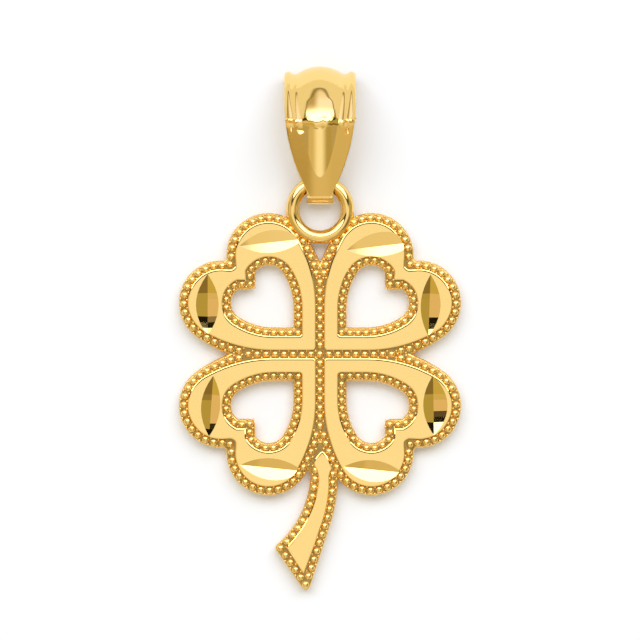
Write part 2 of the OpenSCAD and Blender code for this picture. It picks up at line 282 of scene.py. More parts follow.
FACE_FINISH = GoldFinish("gold_face", GOLD, (1.0, 0.70, 0.25), 0.07, 0.04, 2.5, 0.05, 2e-6, 1.6, 2e-4)
CUT_FINISH = GoldFinish("gold_diamond_cut", GOLD, (1.0, 0.70, 0.25), 0.05, 0.02, 0.6, 0.05, 4e-6)
WALL_FINISH = GoldFinish("gold_wall", GOLD, WARM_GOLD, 0.05, 0.03, 0.4, 0.08, 1e-4)
# The ledge is painted dark brown and rough: partly patina, partly painted shade between the beads, standing
# in for the shade that falls there.
LEDGE_PATINA_AND_SHADE = GoldFinish("gold_ledge_patina_and_painted_shade", LEDGE_PATINA_SHADE_GOLD, LEDGE_PATINA_SHADE_BROWN, 0.32, 0.12, 0.2, 0.06, 2.5e-3)
RIM_FINISH = GoldFinish("gold_rim", WARM_GOLD, DEEP_GOLD, 0.22, 0.08, 0.5, 0.12, 1e-3)
BACK_FINISH = GoldFinish("gold_back", WARM_GOLD, DEEP_GOLD, 0.28, 0.12, 1.5, 0.15, 2e-3)
BEAD_FINISH = GoldFinish("gold_bead", GOLD, WARM_GOLD, 0.05, 0.04, 0.3, 0.08, 2e-4)
WIRE_FINISH = GoldFinish("gold_wire", GOLD, WARM_GOLD, 0.09, 0.05, 0.6, 0.12, 4e-4, 0.5, 2e-3)
BAIL_FINISH = GoldFinish("gold_bail", GOLD, (1.0, 0.70, 0.25), 0.08, 0.04, 1.5, 0.12, 2e-4, 1.6, 4e-4)
CLOVER_SKINS = (FACE_FINISH, CUT_FINISH, WALL_FINISH, LEDGE_PATINA_AND_SHADE, RIM_FINISH, BACK_FINISH)


def polar(centre: Vector, radius: float, degrees: float) -> Vector:
    """The point at an angle on a circle in the plane."""
    turn = math.radians(degrees)
    return centre + radius * Vector((math.cos(turn), math.sin(turn)))


def turned(point: Vector, quarters: int) -> Vector:
    """A point turned about the origin by a number of quarter turns."""
    return point @ Matrix.Rotation(-quarters * math.pi / 2, 2)


def angle_of(vector: Vector) -> float:
    """The direction of a vector in the plane, in degrees."""
    return math.degrees(math.atan2(vector.y, vector.x))


class Pen:
    """Draws one chain of lines and arcs at z = 0 in a mesh of its own."""

    def __init__(self, start: Vector) -> None:
        """Sets the pen down."""
        self.bm = bmesh.new()
        self.tip = self.bm.verts.new((start.x, start.y, 0.0))

    def line_to(self, *points: Vector) -> "Pen":
        """Draws straight lines through points, leaving out any that the pen is already on."""
        for point in points:
            if (self.tip.co.xy - point).length > WELD:
                made = bmesh.ops.extrude_vert_indiv(self.bm, verts=[self.tip])["verts"][0]
                made.co = point.to_3d()
                self.tip = made
        return self

    def arc(self, centre: Vector, radius: float, start: float, end: float, steps: int) -> "Pen":
        """Goes straight to an arc's start and then round it.

        Args:
            centre: The middle of the circle.
            radius: Its radius.
            start: The angle at which the arc starts, in degrees.
            end: The angle at which it ends.
            steps: The number of straight steps along it.

        Returns:
            The pen.
        """
        self.line_to(polar(centre, radius, start))
        spun = bmesh.ops.spin(
            self.bm, geom=[self.tip], cent=centre.to_3d(), axis=UP, dvec=(0, 0, 0),
            angle=math.radians(end - start), steps=steps, use_merge=False)
        self.tip = spun["geom_last"][0]
        return self

    def points(self) -> list[Vector]:
        """The chain's points in the order in which they were drawn."""
        return [vert.co.xy for vert in self.bm.verts]

    def face(self) -> BMesh:
        """Closes the chain, fills it and gives up the mesh, facing up."""
        made = self.bm.faces.new(list(self.bm.verts))
        made.normal_update()
        if made.normal.z < 0:
            made.normal_flip()
        return self.bm


def spread(points: Sequence[Vector], count: int) -> list[Vector]:
    """Places spread evenly over a chain.

    Args:
        points: The chain.
        count: The number of intervals.

    Returns:
        One place more than there are intervals, from the first point to the last.
    """
    lengths = [(b - a).length for a, b in zip(points, points[1:])]
    total = sum(lengths)
    places = []
    for k in range(count + 1):
        left = total * k / count
        i = 0
        while i < len(lengths) - 1 and left > lengths[i]:
            left -= lengths[i]
            i += 1
        places.append(points[i].lerp(points[i + 1], left / lengths[i]))
    return places


def flipped(points: Sequence[Vector]) -> list[Vector]:
    """A chain mirrored in a leaf's diagonal."""
    return [Vector((p.y, p.x)) for p in points]


DIAGONAL = Matrix(((0, 1, 0, 0), (1, 0, 0, 0), (0, 0, 1, 0), (0, 0, 0, 1)))


def add_copy(bm: BMesh, geom: Sequence, matrix: Matrix, mirror: bool) -> list:
    """Adds a moved copy of some geometry.

    Args:
        bm: The mesh.
        geom: The vertices, edges and faces to copy.
        matrix: Where the copy goes.
        mirror: Whether the matrix turns faces inside out, so that they are flipped back.

    Returns:
        The copy's geometry.
    """
    made = bmesh.ops.duplicate(bm, geom=geom)["geom"]
    verts = [g for g in made if isinstance(g, bmesh.types.BMVert)]
    bmesh.ops.transform(bm, matrix=matrix, verts=verts)
    if mirror:
        bmesh.ops.reverse_faces(bm, faces=[g for g in made if isinstance(g, BMFace)])
    return made


def whole_geometry(bm: BMesh) -> list:
    """All vertices, edges and faces of a mesh."""
    return [*bm.verts, *bm.edges, *bm.faces]


def mirror_in_diagonal(bm: BMesh) -> None:
    """Completes a half leaf."""
    add_copy(bm, whole_geometry(bm), DIAGONAL, True)
    bmesh.ops.remove_doubles(bm, verts=bm.verts, dist=WELD)


def repeat_round(bm: BMesh) -> None:
    """Completes four leaves from one."""
    one = whole_geometry(bm)
    for quarter in (1, 2, 3):
        add_copy(bm, one, Matrix.Rotation(quarter * math.pi / 2, 4, "Z"), False)
    bmesh.ops.remove_doubles(bm, verts=bm.verts, dist=WELD)


def raise_solid(bm: BMesh, low: float, high: float) -> list[BMFace]:
    """Makes flat faces a closed solid.

    Args:
        bm: The mesh with its faces at z = 0.
        low: Height of the underside.
        high: Height of the top.

    Returns:
        The faces on top.
    """
    bmesh.ops.translate(bm, verts=bm.verts, vec=(0, 0, low))
    made = bmesh.ops.extrude_face_region(bm, geom=whole_geometry(bm), use_keep_orig=True)["geom"]
    verts = [g for g in made if isinstance(g, bmesh.types.BMVert)]
    bmesh.ops.translate(bm, verts=verts, vec=(0, 0, high - low))
    bmesh.ops.recalc_face_normals(bm, faces=bm.faces)
    return [f for f in bm.faces if f.normal.z > 0.5]


def region_rim(faces: Iterable[BMFace]) -> list[bmesh.types.BMEdge]:
    """The edges round a patch of faces."""
    chosen = set(faces)
    return [e for f in chosen for e in f.edges if sum(g in chosen for g in e.link_faces) == 1]


def step_in(bm: BMesh, faces: list[BMFace], profile: Profile) -> None:
    """Climbs inwards from the rim of a flat patch, one sloping band for each row of a profile.

    Args:
        bm: The mesh.
        faces: The patch, which ends up as the innermost one.
        profile: Width, rise and finish of each band, from the outside in.
    """
    for edge in region_rim(faces):
        edge.smooth = False
    for width, rise, skin in profile:
        made = bmesh.ops.inset_region(
            bm, faces=faces, use_boundary=True, use_even_offset=True, thickness=width, depth=rise)
        for band in made["faces"]:
            band.material_index = skin
            band.smooth = True
        for edge in region_rim(faces):
            edge.smooth = False


def mark_creases(bm: BMesh) -> None:
    """Marks the sharp edges: on the panels' shoulders every change of slope, elsewhere every real edge."""
    for edge in bm.edges:
        if len(edge.link_faces) != 2:
            continue
        one, two = edge.link_faces
        same = one.material_index == two.material_index
        if same and one.material_index == Skin.WALL:
            edge.smooth = abs(one.normal.z - two.normal.z) < 0.0005
        elif one.material_index in ROUNDED and two.material_index in ROUNDED:
            edge.smooth = one.normal.angle(two.normal, 0.0) < math.radians(50)
        else:
            edge.smooth = same and one.normal.angle(two.normal, 0.0) < math.radians(20)


def temporary(bm: BMesh, skins: Sequence[bpy.types.Material]) -> bpy.types.Object:
    """Puts a mesh into a passing object with the given material slots."""
    mesh = bpy.data.meshes.new("passing")
    for skin in skins:
        mesh.materials.append(skin)
    bm.to_mesh(mesh)
    bm.free()
    made = bpy.data.objects.new("passing", mesh)
    bpy.context.scene.collection.objects.link(made)
    return made


def combine(body: BMesh, tools: Sequence[BMesh], operation: str,
            skins: Sequence[bpy.types.Material]) -> BMesh:
    """Joins solids to a solid or cuts them out of it, one after the other.

    Args:
        body: The solid that is changed.
        tools: The other solids.
        operation: UNION or DIFFERENCE.
        skins: The material slots that all of them share.

    Returns:
        The result, as a new mesh.
    """
    target = temporary(body, skins)
    others = [temporary(tool, skins) for tool in tools]
    for other in others:
        modifier = target.modifiers.new("combine", "BOOLEAN")
        modifier.operation = operation
        modifier.solver = "MANIFOLD"
        modifier.object = other
    bpy.context.view_layer.update()
    graph = bpy.context.evaluated_depsgraph_get()
    result = bmesh.new()
    result.from_mesh(target.evaluated_get(graph).to_mesh())
    for passing in [target, *others]:
        mesh = passing.data
        bpy.data.objects.remove(passing)
        bpy.data.meshes.remove(mesh)
    return result


def joined(parts: Iterable[BMesh]) -> BMesh:
    """Gathers separate meshes in one."""
    whole = bmesh.new()
    for part in parts:
        mesh = bpy.data.meshes.new("passing")
        part.to_mesh(mesh)
        part.free()
        whole.from_mesh(mesh)
        bpy.data.meshes.remove(mesh)
    return whole


def finish_piece(bm: BMesh, name: str, node: str,
                 skins: Sequence[bpy.types.Material]) -> bpy.types.Object:
    """Turns a mesh in millimetres into a piece of the pendant.

    Args:
        bm: The mesh, which is used up.
        name: The piece's name.
        node: The node that it stands for.
        skins: Its materials.

    Returns:
        The piece.
    """
    bmesh.ops.scale(bm, vec=(MM, MM, MM), verts=bm.verts)
    mesh = bpy.data.meshes.new(name)
    for skin in skins:
        mesh.materials.append(skin)
    bm.to_mesh(mesh)
    bm.free()
    piece = bpy.data.objects.new(name, mesh)
    bpy.context.scene.collection.objects.link(piece)
    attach(piece, "root")
    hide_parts(node)
    LOG.info("%s: %d faces", name, len(mesh.polygons))
    return piece


@dataclass
class LeafLines:
    """The lines round a leaf in the first quadrant: each is a long side arc that runs into a lobe arc."""

    lobe: Vector = field(default_factory=lambda: Vector((2.2, 4.23)))
    lobe_r: float = 1.8
    side_r: float = 6.5
    outer_turn: float = 145.0
    notch_end: float = -4.0
    notch_root: float = 4.05
    ledge_w: float = 0.415
    axis_ledge_w: float = 0.44
    corner_r: float = 0.1
    notch_bead: float = 3.85
    notch_r: float = 0.29
    heart_near: float = 1.14
    heart_straight: float = 0.83
    heart_side_r: float = 2.75
    heart_lobe: Vector = field(default_factory=lambda: Vector((2.19, 3.07)))
    heart_lobe_r: float = 0.73
    heart_ledge_w: float = 0.41
    tongue_at: float = 2.77
    tongue_shift: float = 1.1
    tongue_r: float = 0.25
    tongue_sharpen: float = 0.55
    least_r: float = 0.06
    tip_r: float = 0.02
    tip_rounding: float = 0.3
    panel_side_in: float = 0.7
    panel_end: float = -8.0
    notch_start: float = 172.0

    def side_centre(self, side_r: float, lobe_r: float, turn: float) -> Vector:
        """Middle of a side arc that meets a lobe arc smoothly at an angle."""
        return polar(self.lobe, side_r - lobe_r, turn + 180.0)

    def heart(self, pen: Pen, out: float) -> Pen:
        """Draws half a heart from its tongue to its tip, moved out into the ledge round it.

        Args:
            pen: The pen, on its way down the diagonal.
            out: Distance from the opening's edge.

        Returns:
            The pen.
        """
        near = self.heart_near - out
        side = Vector((self.heart_near + self.heart_side_r, self.heart_near + self.heart_straight))
        turn = angle_of(self.heart_lobe - side)
        tongue_x = self.tongue_at + self.tongue_shift * out
        tongue_r = max(self.least_r, self.tongue_r - self.tongue_sharpen * out)
        tip_r = self.tip_rounding * out + self.tip_r
        lobe_out = self.heart_lobe_r + out
        lobe_end = math.degrees(math.acos((tongue_x - self.heart_lobe.x) / lobe_out))
        tongue = Vector((tongue_x + tongue_r, tongue_x + tongue_r))
        tip = Vector((near + tip_r, near + tip_r))
        if tongue_r > self.least_r:
            pen.arc(tongue, tongue_r, 225.0, 180.0, 4)
        else:
            pen.line_to(Vector((tongue_x, tongue_x)))
        pen.arc(self.heart_lobe, lobe_out, lobe_end, turn, 14)
        pen.arc(side, self.heart_side_r + out, turn, 180.0, 8)
        return pen.arc(tip, tip_r, 180.0, 225.0, 3)

    def plate_half(self) -> BMesh:
        """Half a leaf of the plate, from the crossing out to its lobe, with half the heart opening."""
        centre = self.side_centre(self.side_r, self.lobe_r, self.outer_turn)
        start = math.degrees(math.acos(-centre.x / self.side_r))
        pen = Pen(Vector((0.0, 0.0)))
        pen.line_to(Vector((0.0, polar(centre, self.side_r, start).y)))
        pen.arc(centre, self.side_r, start, self.outer_turn, 8)
        pen.arc(self.lobe, self.lobe_r, self.outer_turn, self.notch_end, 26)
        pen.line_to(Vector((self.notch_root, self.notch_root)))
        return self.heart(pen, 0.0).face()

    def panel_half(self, out: float) -> BMesh:
        """Half the raised panel of a leaf, moved out by a little all round."""
        near = self.axis_ledge_w / 2
        side_r = self.side_r - self.panel_side_in
        lobe_r = self.lobe_r - self.ledge_w
        run = (near + side_r - self.lobe.x) / (side_r - lobe_r)
        turn = 180.0 - math.degrees(math.acos(run))
        centre = self.side_centre(side_r, lobe_r, turn)
        corner = Vector((near + self.corner_r, near + self.corner_r))
        notch = Vector((self.notch_bead, self.notch_bead))
        pen = Pen(polar(corner, self.corner_r + out, 225.0))
        pen.arc(corner, self.corner_r + out, 225.0, 180.0, 4)
        pen.arc(centre, side_r + out, 180.0, turn, 10)
        pen.arc(self.lobe, lobe_r + out, turn, self.panel_end, 26)
        pen.arc(notch, self.notch_r - out, self.notch_start, 225.0, 5)
        return self.heart(pen, self.heart_ledge_w - out).face()


@dataclass
class StemLines:
    """The lines of the stem: the bead rows down both sides set its edge and its panel."""

    left: Vector = field(default_factory=lambda: Vector((-4.66, -4.93)))
    left_r: float = 4.48
    left_end: float = -48.35
    right: Vector = field(default_factory=lambda: Vector((-5.64, -5.3)))
    right_r: float = 6.19
    right_end: float = -19.3
    corner: Vector = field(default_factory=lambda: Vector((-1.69, -8.28)))
    tip: Vector = field(default_factory=lambda: Vector((-0.61, -9.84)))
    edge_out: float = 0.21
    panel_in: float = 0.18
    top_y: float = -3.7
    left_root: float = -2.3
    fill: Vector = field(default_factory=lambda: Vector((-0.6, -4.85)))
    foot: Vector = field(default_factory=lambda: Vector((-0.7, -9.34)))
    head_start: tuple[float, float, int, int] = (0.11, -4.2, 0, 1)
    head_right: tuple[tuple[float, float, int, int], ...] = (
        (0.19, -4.25, 0, 1), (0.26, -4.36, 1, 0), (0.37, -4.59, 1, 0), (0.48, -4.87, 1, 0),
        (0.41, -5.02, 1, 0), (0.355, -5.2, 1, 0))
    head_left: tuple[tuple[float, float, int, int], ...] = (
        (-0.03, -5.2, -1, 0), (-0.1, -4.95, -1, 0), (-0.21, -4.77, -1, 0), (-0.21, -4.58, -1, 0),
        (-0.12, -4.4, -1, 0), (0.02, -4.23, 0, 1))
    neck_right: float = -3.0
    neck_left: float = -6.0
    foot_turn: float = 2.5

    def edge(self) -> BMesh:
        """The stem's outline, up into the clover."""
        outer_r = self.right_r + self.edge_out
        start = math.degrees(math.asin((self.top_y - self.right.y) / outer_r))
        end = self.tip - self.corner
        normal = math.degrees(math.atan2(-end.x, end.y))
        pen = Pen(Vector((self.fill.x, self.top_y)))
        pen.arc(self.right, outer_r, start, self.right_end, 16)
        pen.arc(self.tip, self.edge_out, self.right_end, normal, 8)
        pen.arc(self.corner, self.edge_out, normal, self.left_end - 180.0, 8)
        pen.arc(self.left, self.left_r - self.edge_out, self.left_end, self.left_root, 20)
        return pen.line_to(self.fill).face()

    def panel(self, out: float) -> BMesh:
        """The stem's raised panel, with its narrow round head between the lower leaves."""
        pen = Pen(self.moved(self.head_start, out))
        pen.line_to(*(self.moved(corner, out) for corner in self.head_right))
        pen.arc(self.right, self.right_r - self.panel_in + out, self.neck_right, self.right_end, 12)
        pen.line_to(Vector((self.foot.x, self.foot.y - out)))
        start = self.left_end + self.foot_turn
        pen.arc(self.left, self.left_r + self.panel_in - out, start, self.neck_left, 20)
        pen.line_to(*(self.moved(corner, out) for corner in self.head_left))
        return pen.face()

    @staticmethod
    def moved(corner: tuple[float, float, int, int], out: float) -> Vector:
        """A corner of the head, given by its place and the way in which it moves out."""
        x, y, out_x, out_y = corner
        return Vector((x + out_x * out, y + out_y * out))


@dataclass
class Bead:
    """One bead of the milled rows."""

    place: Vector
    across: Vector
    lean: float
    diameter: float
    step: float


@dataclass
class Clover:
    """The clover: a pierced plate with raised panels, diamond cuts, rows of beads and a soldered ring."""

    leaf: LeafLines = field(default_factory=LeafLines)
    stem: StemLines = field(default_factory=StemLines)
    ledge_z: float = 0.62
    panel_rise: float = 0.2
    lap: float = 0.2
    shoulder: float = 0.05
    shoulders: Profile = ((0.012, 0.14, Skin.WALL), (0.036, 0.011, Skin.WALL), (0.042, 0.0021, Skin.WALL))
    edge_bands: Profile = (
        (0.012, 0.03, Skin.RIM), (0.022, 0.026, Skin.RIM), (0.036, 0.02, Skin.RIM),
        (0.05, 0.014, Skin.LEDGE), (0.07, 0.01, Skin.LEDGE))
    back_bands: Profile = ((0.015, 0.02, Skin.BACK), (0.03, 0.012, Skin.BACK))
    leaf_bands: int = 5
    stem_bands: int = 3
    stem_inset: float = 0.001
    cut_depth: float = 0.17
    wheel_depth: float = 2.0
    wheel_steps: int = 128
    bead_d: float = 0.31
    heart_bead_d: float = 0.285
    bead_sink: float = -0.01
    bead_flat: float = 0.68
    grain_off: float = 0.46
    grain_d: float = 0.42
    grain_sink: float = 0.02
    axis_pitch: float = 0.383
    axis_count: int = 8
    axis_lean: float = 0.1
    bead_gap: float = 0.005
    leaf_row_in: float = 0.3
    leaf_row_turn: float = 147.5
    leaf_row_y: float = 3.465
    leaf_row_end: float = -2.0
    leaf_intervals: int = 16
    leaf_middle: float = 2.4
    heart_notch: float = 2.98
    heart_intervals: int = 15
    heart_middle: float = 2.3
    stem_left_start: float = -0.4
    stem_right_start: float = 1.6
    stem_intervals: tuple[int, int, int] = (10, 5, 13)
    stem_middle: Vector = field(default_factory=lambda: Vector((-0.7, -8.2)))
    ring_y: float = 6.177
    ring_z: float = 0.6225
    ring_r: float = 1.1725
    wire_r: float = 0.2925
    beside_ring: float = 1.45
    outer_lean: float = 0.20
    heart_lean: float = 0.30
    stem_lean: float = 0.12
    cuts: tuple[tuple[float, float, float, float, float, float], ...] = (
        (2.65, 4.62, 6.7, 1.52, 0.6, 0.43),
        (-2.05, 4.77, 6.2, 1.4, 0.53, 0.43),
        (-2.05, -4.87, -5.8, 1.37, 0.42, 0.5),
        (2.27, -4.94, -5.8, 1.28, 0.41, 0.51),
        (-4.8, 2.11, 90.0, 1.31, 0.5, 0.47),
        (4.68, 2.08, 88.0, 1.32, 0.38, 0.47),
        (-4.65, -2.22, 86.0, 1.3, 0.43, 0.39),
        (4.85, -2.19, 91.0, 1.29, 0.44, 0.6))

    def wheel(self, x: float, y: float, turn: float, half: float, left: float, right: float) -> BMesh:
        """A cutting wheel with a sharp rim, standing in the place of one diamond cut.

        Args:
            x: Middle of the cut.
            y: Middle of the cut.
            turn: Direction of its run, in degrees.
            half: Half its length.
            left: Width on the left of its run.
            right: Width on the right of its run.

        Returns:
            The wheel as a closed solid.
        """
        rim_r = (half ** 2 + self.cut_depth ** 2) / (2 * self.cut_depth)
        side_z = self.wheel_depth * self.cut_depth - rim_r
        bm = bmesh.new()
        rim = bm.verts.new((0.0, 0.0, -rim_r))
        for side in (self.wheel_depth * left, -self.wheel_depth * right):
            flank = bmesh.ops.extrude_vert_indiv(bm, verts=[rim])["verts"][0]
            flank.co = Vector((0.0, side, side_z))
        bmesh.ops.spin(
            bm, geom=whole_geometry(bm), cent=(0, 0, 0), axis=(0, 1, 0), dvec=(0, 0, 0),
            angle=math.tau, steps=self.wheel_steps, use_merge=True)
        bmesh.ops.holes_fill(bm, edges=bm.edges, sides=0)
        bmesh.ops.recalc_face_normals(bm, faces=bm.faces)
        for face in bm.faces:
            face.material_index = Skin.CUT
            face.smooth = abs(turn) < 45.0
        lift = self.ledge_z + self.panel_rise - self.cut_depth + rim_r
        place = Matrix.Translation((x, y, lift)) @ Matrix.Rotation(math.radians(turn), 4, "Z")
        bmesh.ops.transform(bm, matrix=place, verts=bm.verts)
        return bm

    def panels(self, skins: Sequence[bpy.types.Material]) -> list[BMesh]:
        """The raised panels of the four leaves and the stem."""
        return [*(self.leaf_panel(quarter, skins) for quarter in range(4)), self.stem_panel()]

    def leaf_panel(self, quarter: int, skins: Sequence[bpy.types.Material]) -> BMesh:
        """One leaf's panel with its diamond cuts.

        Args:
            quarter: The leaf, counted from the first quadrant.
            skins: The clover's material slots.

        Returns:
            The panel as a closed solid.
        """
        bm = self.leaf.panel_half(self.shoulder)
        mirror_in_diagonal(bm)
        bmesh.ops.rotate(bm, verts=bm.verts, matrix=Matrix.Rotation(quarter * math.pi / 2, 3, "Z"))
        self.raise_panel(bm)
        wheels = [self.wheel(*cut) for cut in self.cuts if self.quarter_of(cut) == quarter]
        return self.level(combine(bm, wheels, "DIFFERENCE", skins))

    def stem_panel(self) -> BMesh:
        """The stem's panel, which has no cuts."""
        bm = self.stem.panel(self.shoulder)
        self.raise_panel(bm)
        return self.level(bm)

    def raise_panel(self, bm: BMesh) -> None:
        """Raises a flat outline to a panel with polished, slanted shoulders."""
        climb = sum(rise for _, rise, _ in self.shoulders)
        faces = raise_solid(bm, self.ledge_z - self.lap, self.ledge_z + self.panel_rise - climb)
        for face in bm.faces:
            face.material_index = Skin.WALL
        for face in faces:
            face.material_index = Skin.FACE
        step_in(bm, faces, self.shoulders)

    def level(self, bm: BMesh) -> BMesh:
        """Lays every corner of a panel's polished face at the same height."""
        for face in bm.faces:
            if face.material_index == Skin.FACE:
                for vert in face.verts:
                    vert.co.z = self.ledge_z + self.panel_rise
        return bm

    @staticmethod
    def quarter_of(cut: Sequence[float]) -> int:
        """The leaf that a cut is on, counted from the first quadrant."""
        return int(math.atan2(cut[1], cut[0]) % math.tau // (math.pi / 2))

    def plate(self, skins: Sequence[bpy.types.Material]) -> BMesh:
        """The pierced plate, whose ledges fall away a little to rounded edges."""
        sink = sum(rise for _, rise, _ in self.back_bands)
        leaves = self.leaf.plate_half()
        mirror_in_diagonal(leaves)
        repeat_round(leaves)
        parts = []
        for bm, lower, bands in (
                (leaves, 0.0, self.leaf_bands), (self.stem.edge(), self.stem_inset, self.stem_bands)):
            over = self.edge_bands[:bands]
            climb = sum(rise for _, rise, _ in over)
            raise_solid(bm, sink + lower, self.ledge_z - climb - lower)
            for face in bm.faces:
                face.material_index = Skin.RIM
                face.smooth = abs(face.normal.z) < 0.5
            for normal_z, skin, profile in ((1.0, Skin.LEDGE, over), (-1.0, Skin.BACK, self.back_bands)):
                faces = [f for f in bm.faces if f.normal.z * normal_z > 0.9]
                for face in faces:
                    face.material_index = skin
                step_in(bm, faces, profile)
            parts.append(bm)
        return combine(parts[0], parts[1:], "UNION", skins)

    def beads(self) -> list[Bead]:
        """All the beads: along the axes, round the leaves, round the hearts and down the stem."""
        return [*self.axis_beads(), *self.leaf_beads(), *self.heart_beads(), *self.stem_beads()]

    def axis_beads(self) -> list[Bead]:
        """The two rows that cross in the middle."""
        made = [Bead(Vector((0.0, 0.0)), Vector((0.0, -1.0)), 0.0, self.bead_d, 0.0)]
        for quarter in range(4):
            across = Vector((0.0, -1.0)) if quarter % 2 == 0 else Vector((1.0, 0.0))
            lean = self.axis_lean if quarter % 2 == 0 else 0.0
            for k in range(1, self.axis_count + 1):
                place = turned(Vector((self.axis_pitch * k, 0.0)), quarter)
                made.append(Bead(place, across, lean, self.bead_d, self.axis_pitch))
        return made

    def row(self, points: Sequence[Vector], middle: Vector, inward: bool, lean: float,
            diameter: float) -> list[Bead]:
        """Beads along a row, each leaning across it.

        Args:
            points: The beads' places.
            middle: A point on one side of the row.
            inward: Whether the beads lean towards that point and not away from it.
            lean: How far they lean, as a slope.
            diameter: Their diameter.

        Returns:
            The beads.
        """
        made = []
        for i, place in enumerate(points):
            along = points[min(i + 1, len(points) - 1)] - points[max(i - 1, 0)]
            across = Vector((along.y, -along.x)).normalized()
            if (across.dot(place - middle) > 0) == inward:
                across.negate()
            step = (points[i + 1] - place).length if i + 1 < len(points) else 0.0
            made.append(Bead(place, across, lean, diameter, step))
        return made

    def leaf_beads(self) -> list[Bead]:
        """The row round the outside of each leaf, which keeps clear of the ring."""
        leaf = self.leaf
        lobe_r = leaf.lobe_r - leaf.ledge_w / 2
        side_r = leaf.side_r - self.leaf_row_in
        turn = self.leaf_row_turn
        centre = leaf.side_centre(side_r, lobe_r, turn)
        start = 180.0 - math.degrees(math.asin((self.leaf_row_y - centre.y) / side_r))
        pen = Pen(polar(centre, side_r, start))
        pen.arc(centre, side_r, start, turn, 8).arc(leaf.lobe, lobe_r, turn - 1.0, self.leaf_row_end, 24)
        least_x = self.bead_d / 2 + self.bead_gap
        half = [Vector((max(p.x, least_x), p.y)) for p in spread(pen.points(), self.leaf_intervals)]
        notch = Vector((leaf.notch_bead, leaf.notch_bead))
        middle = Vector((self.leaf_middle, self.leaf_middle))
        one = self.row(half, middle, False, self.outer_lean, self.bead_d)
        two = self.row(flipped(half), middle, False, self.outer_lean, self.bead_d)
        one += two + [Bead(notch, Vector((0.7, 0.7)), self.outer_lean, self.bead_d, 0.0)]
        ring = Vector((0.0, self.ring_y))
        made = []
        for quarter in range(4):
            for bead in one:
                place = turned(bead.place, quarter)
                gap = place - ring
                if gap.length < self.beside_ring:
                    place = ring + gap * (self.beside_ring / gap.length)
                made.append(Bead(place, turned(bead.across, quarter), bead.lean, bead.diameter, bead.step))
        return made

    def heart_beads(self) -> list[Bead]:
        """The row round each heart opening, with one bead at its notch."""
        leaf = self.leaf
        out = leaf.heart_ledge_w / 2
        notch = Vector((self.heart_notch, self.heart_notch))
        tip = Vector((leaf.heart_near - out, leaf.heart_near - out))
        pen = leaf.heart(Pen(notch), out)
        drawn = pen.points()[1:]
        half = spread([notch, *drawn[5:-4], tip], self.heart_intervals)
        middle = Vector((self.heart_middle, self.heart_middle))
        one = self.row(half, middle, True, self.heart_lean, self.heart_bead_d)
        two = self.row(flipped(half[1:-1]), middle, True, self.heart_lean, self.heart_bead_d)
        return [Bead(turned(b.place, q), turned(b.across, q), b.lean, b.diameter, b.step)
                for q in range(4) for b in one + two]

    def stem_beads(self) -> list[Bead]:
        """The rows down both sides of the stem and along its end."""
        stem = self.stem
        left_start, right_start = self.stem_left_start, self.stem_right_start
        left = Pen(polar(stem.left, stem.left_r, left_start))
        left.arc(stem.left, stem.left_r, left_start, stem.left_end, 20)
        right = Pen(polar(stem.right, stem.right_r, right_start))
        right.arc(stem.right, stem.right_r, right_start, stem.right_end, 12).line_to(stem.tip)
        down, along, up = self.stem_intervals
        end = [stem.corner.lerp(stem.tip, k / along) for k in range(1, along)]
        made = []
        for points in (spread(left.points(), down), end, spread(right.points(), up)):
            made += self.row(points, self.stem_middle, False, self.stem_lean, self.bead_d)
        return made

    def bead_mesh(self) -> BMesh:
        """All beads as low domes, leaning across their rows, each a closed form sunk in the ledge."""
        rng = random.Random(11)
        ball = self.ball(12, 8)
        crumb = self.ball(8, 5)
        bm = bmesh.new()
        for bead in self.beads():
            lean = (bead.across * bead.lean).to_3d() + UP
            lean += Vector((rng.uniform(-0.03, 0.03), rng.uniform(-0.03, 0.03), 0.0))
            spin = UP.rotation_difference(lean).to_matrix().to_4x4()
            width = bead.diameter * rng.uniform(0.98, 1.04)
            place = Matrix.Translation((bead.place.x, bead.place.y, self.ledge_z - self.bead_sink))
            stretch = Matrix.Diagonal((width, width, width * self.bead_flat, 1.0))
            self.add_ball(bm, ball, place @ spin @ stretch)
            if bead.step == 0.0:
                continue
            along = Vector((-bead.across.y, bead.across.x)) * bead.step / 2
            for side in (-1.0, 1.0):
                middle = bead.place + along + bead.across * side * self.grain_off * bead.diameter
                grain = bead.diameter * self.grain_d * rng.uniform(0.85, 1.15)
                place = Matrix.Translation((middle.x, middle.y, self.ledge_z - self.grain_sink))
                self.add_ball(bm, crumb, place @ Matrix.Diagonal((grain, grain, grain, 1.0)))
        for pattern in (ball, crumb):
            bpy.data.meshes.remove(pattern)
        return bm

    @staticmethod
    def ball(segments: int, rings: int) -> bpy.types.Mesh:
        """A smooth ball 1 wide, as a pattern."""
        bm = bmesh.new()
        bmesh.ops.create_uvsphere(bm, u_segments=segments, v_segments=rings, radius=0.5)
        for face in bm.faces:
            face.smooth = True
        pattern = bpy.data.meshes.new("passing")
        bm.to_mesh(pattern)
        bm.free()
        return pattern

    @staticmethod
    def add_ball(bm: BMesh, pattern: bpy.types.Mesh, move: Matrix) -> None:
        """Adds a moved copy of a pattern to a mesh."""
        pattern.transform(move)
        bm.from_mesh(pattern)
        pattern.transform(move.inverted())

    def ring_mesh(self) -> BMesh:
        """The soldered ring, a round wire bent to a circle."""
        bm = bmesh.new()
        middle = Vector((self.ring_r, 0.0, 0.0))
        first = bm.verts.new(middle + Vector((self.wire_r, 0.0, 0.0)))
        bmesh.ops.spin(
            bm, geom=[first], cent=middle, axis=(0, 1, 0), dvec=(0, 0, 0),
            angle=math.tau, steps=24, use_merge=True)
        bmesh.ops.spin(
            bm, geom=whole_geometry(bm), cent=(0, 0, 0), axis=UP, dvec=(0, 0, 0),
            angle=math.tau, steps=96, use_merge=True)
        bmesh.ops.recalc_face_normals(bm, faces=bm.faces)
        bmesh.ops.translate(bm, verts=bm.verts, vec=(0.0, self.ring_y, self.ring_z))
        for face in bm.faces:
            face.smooth = True
        return bm

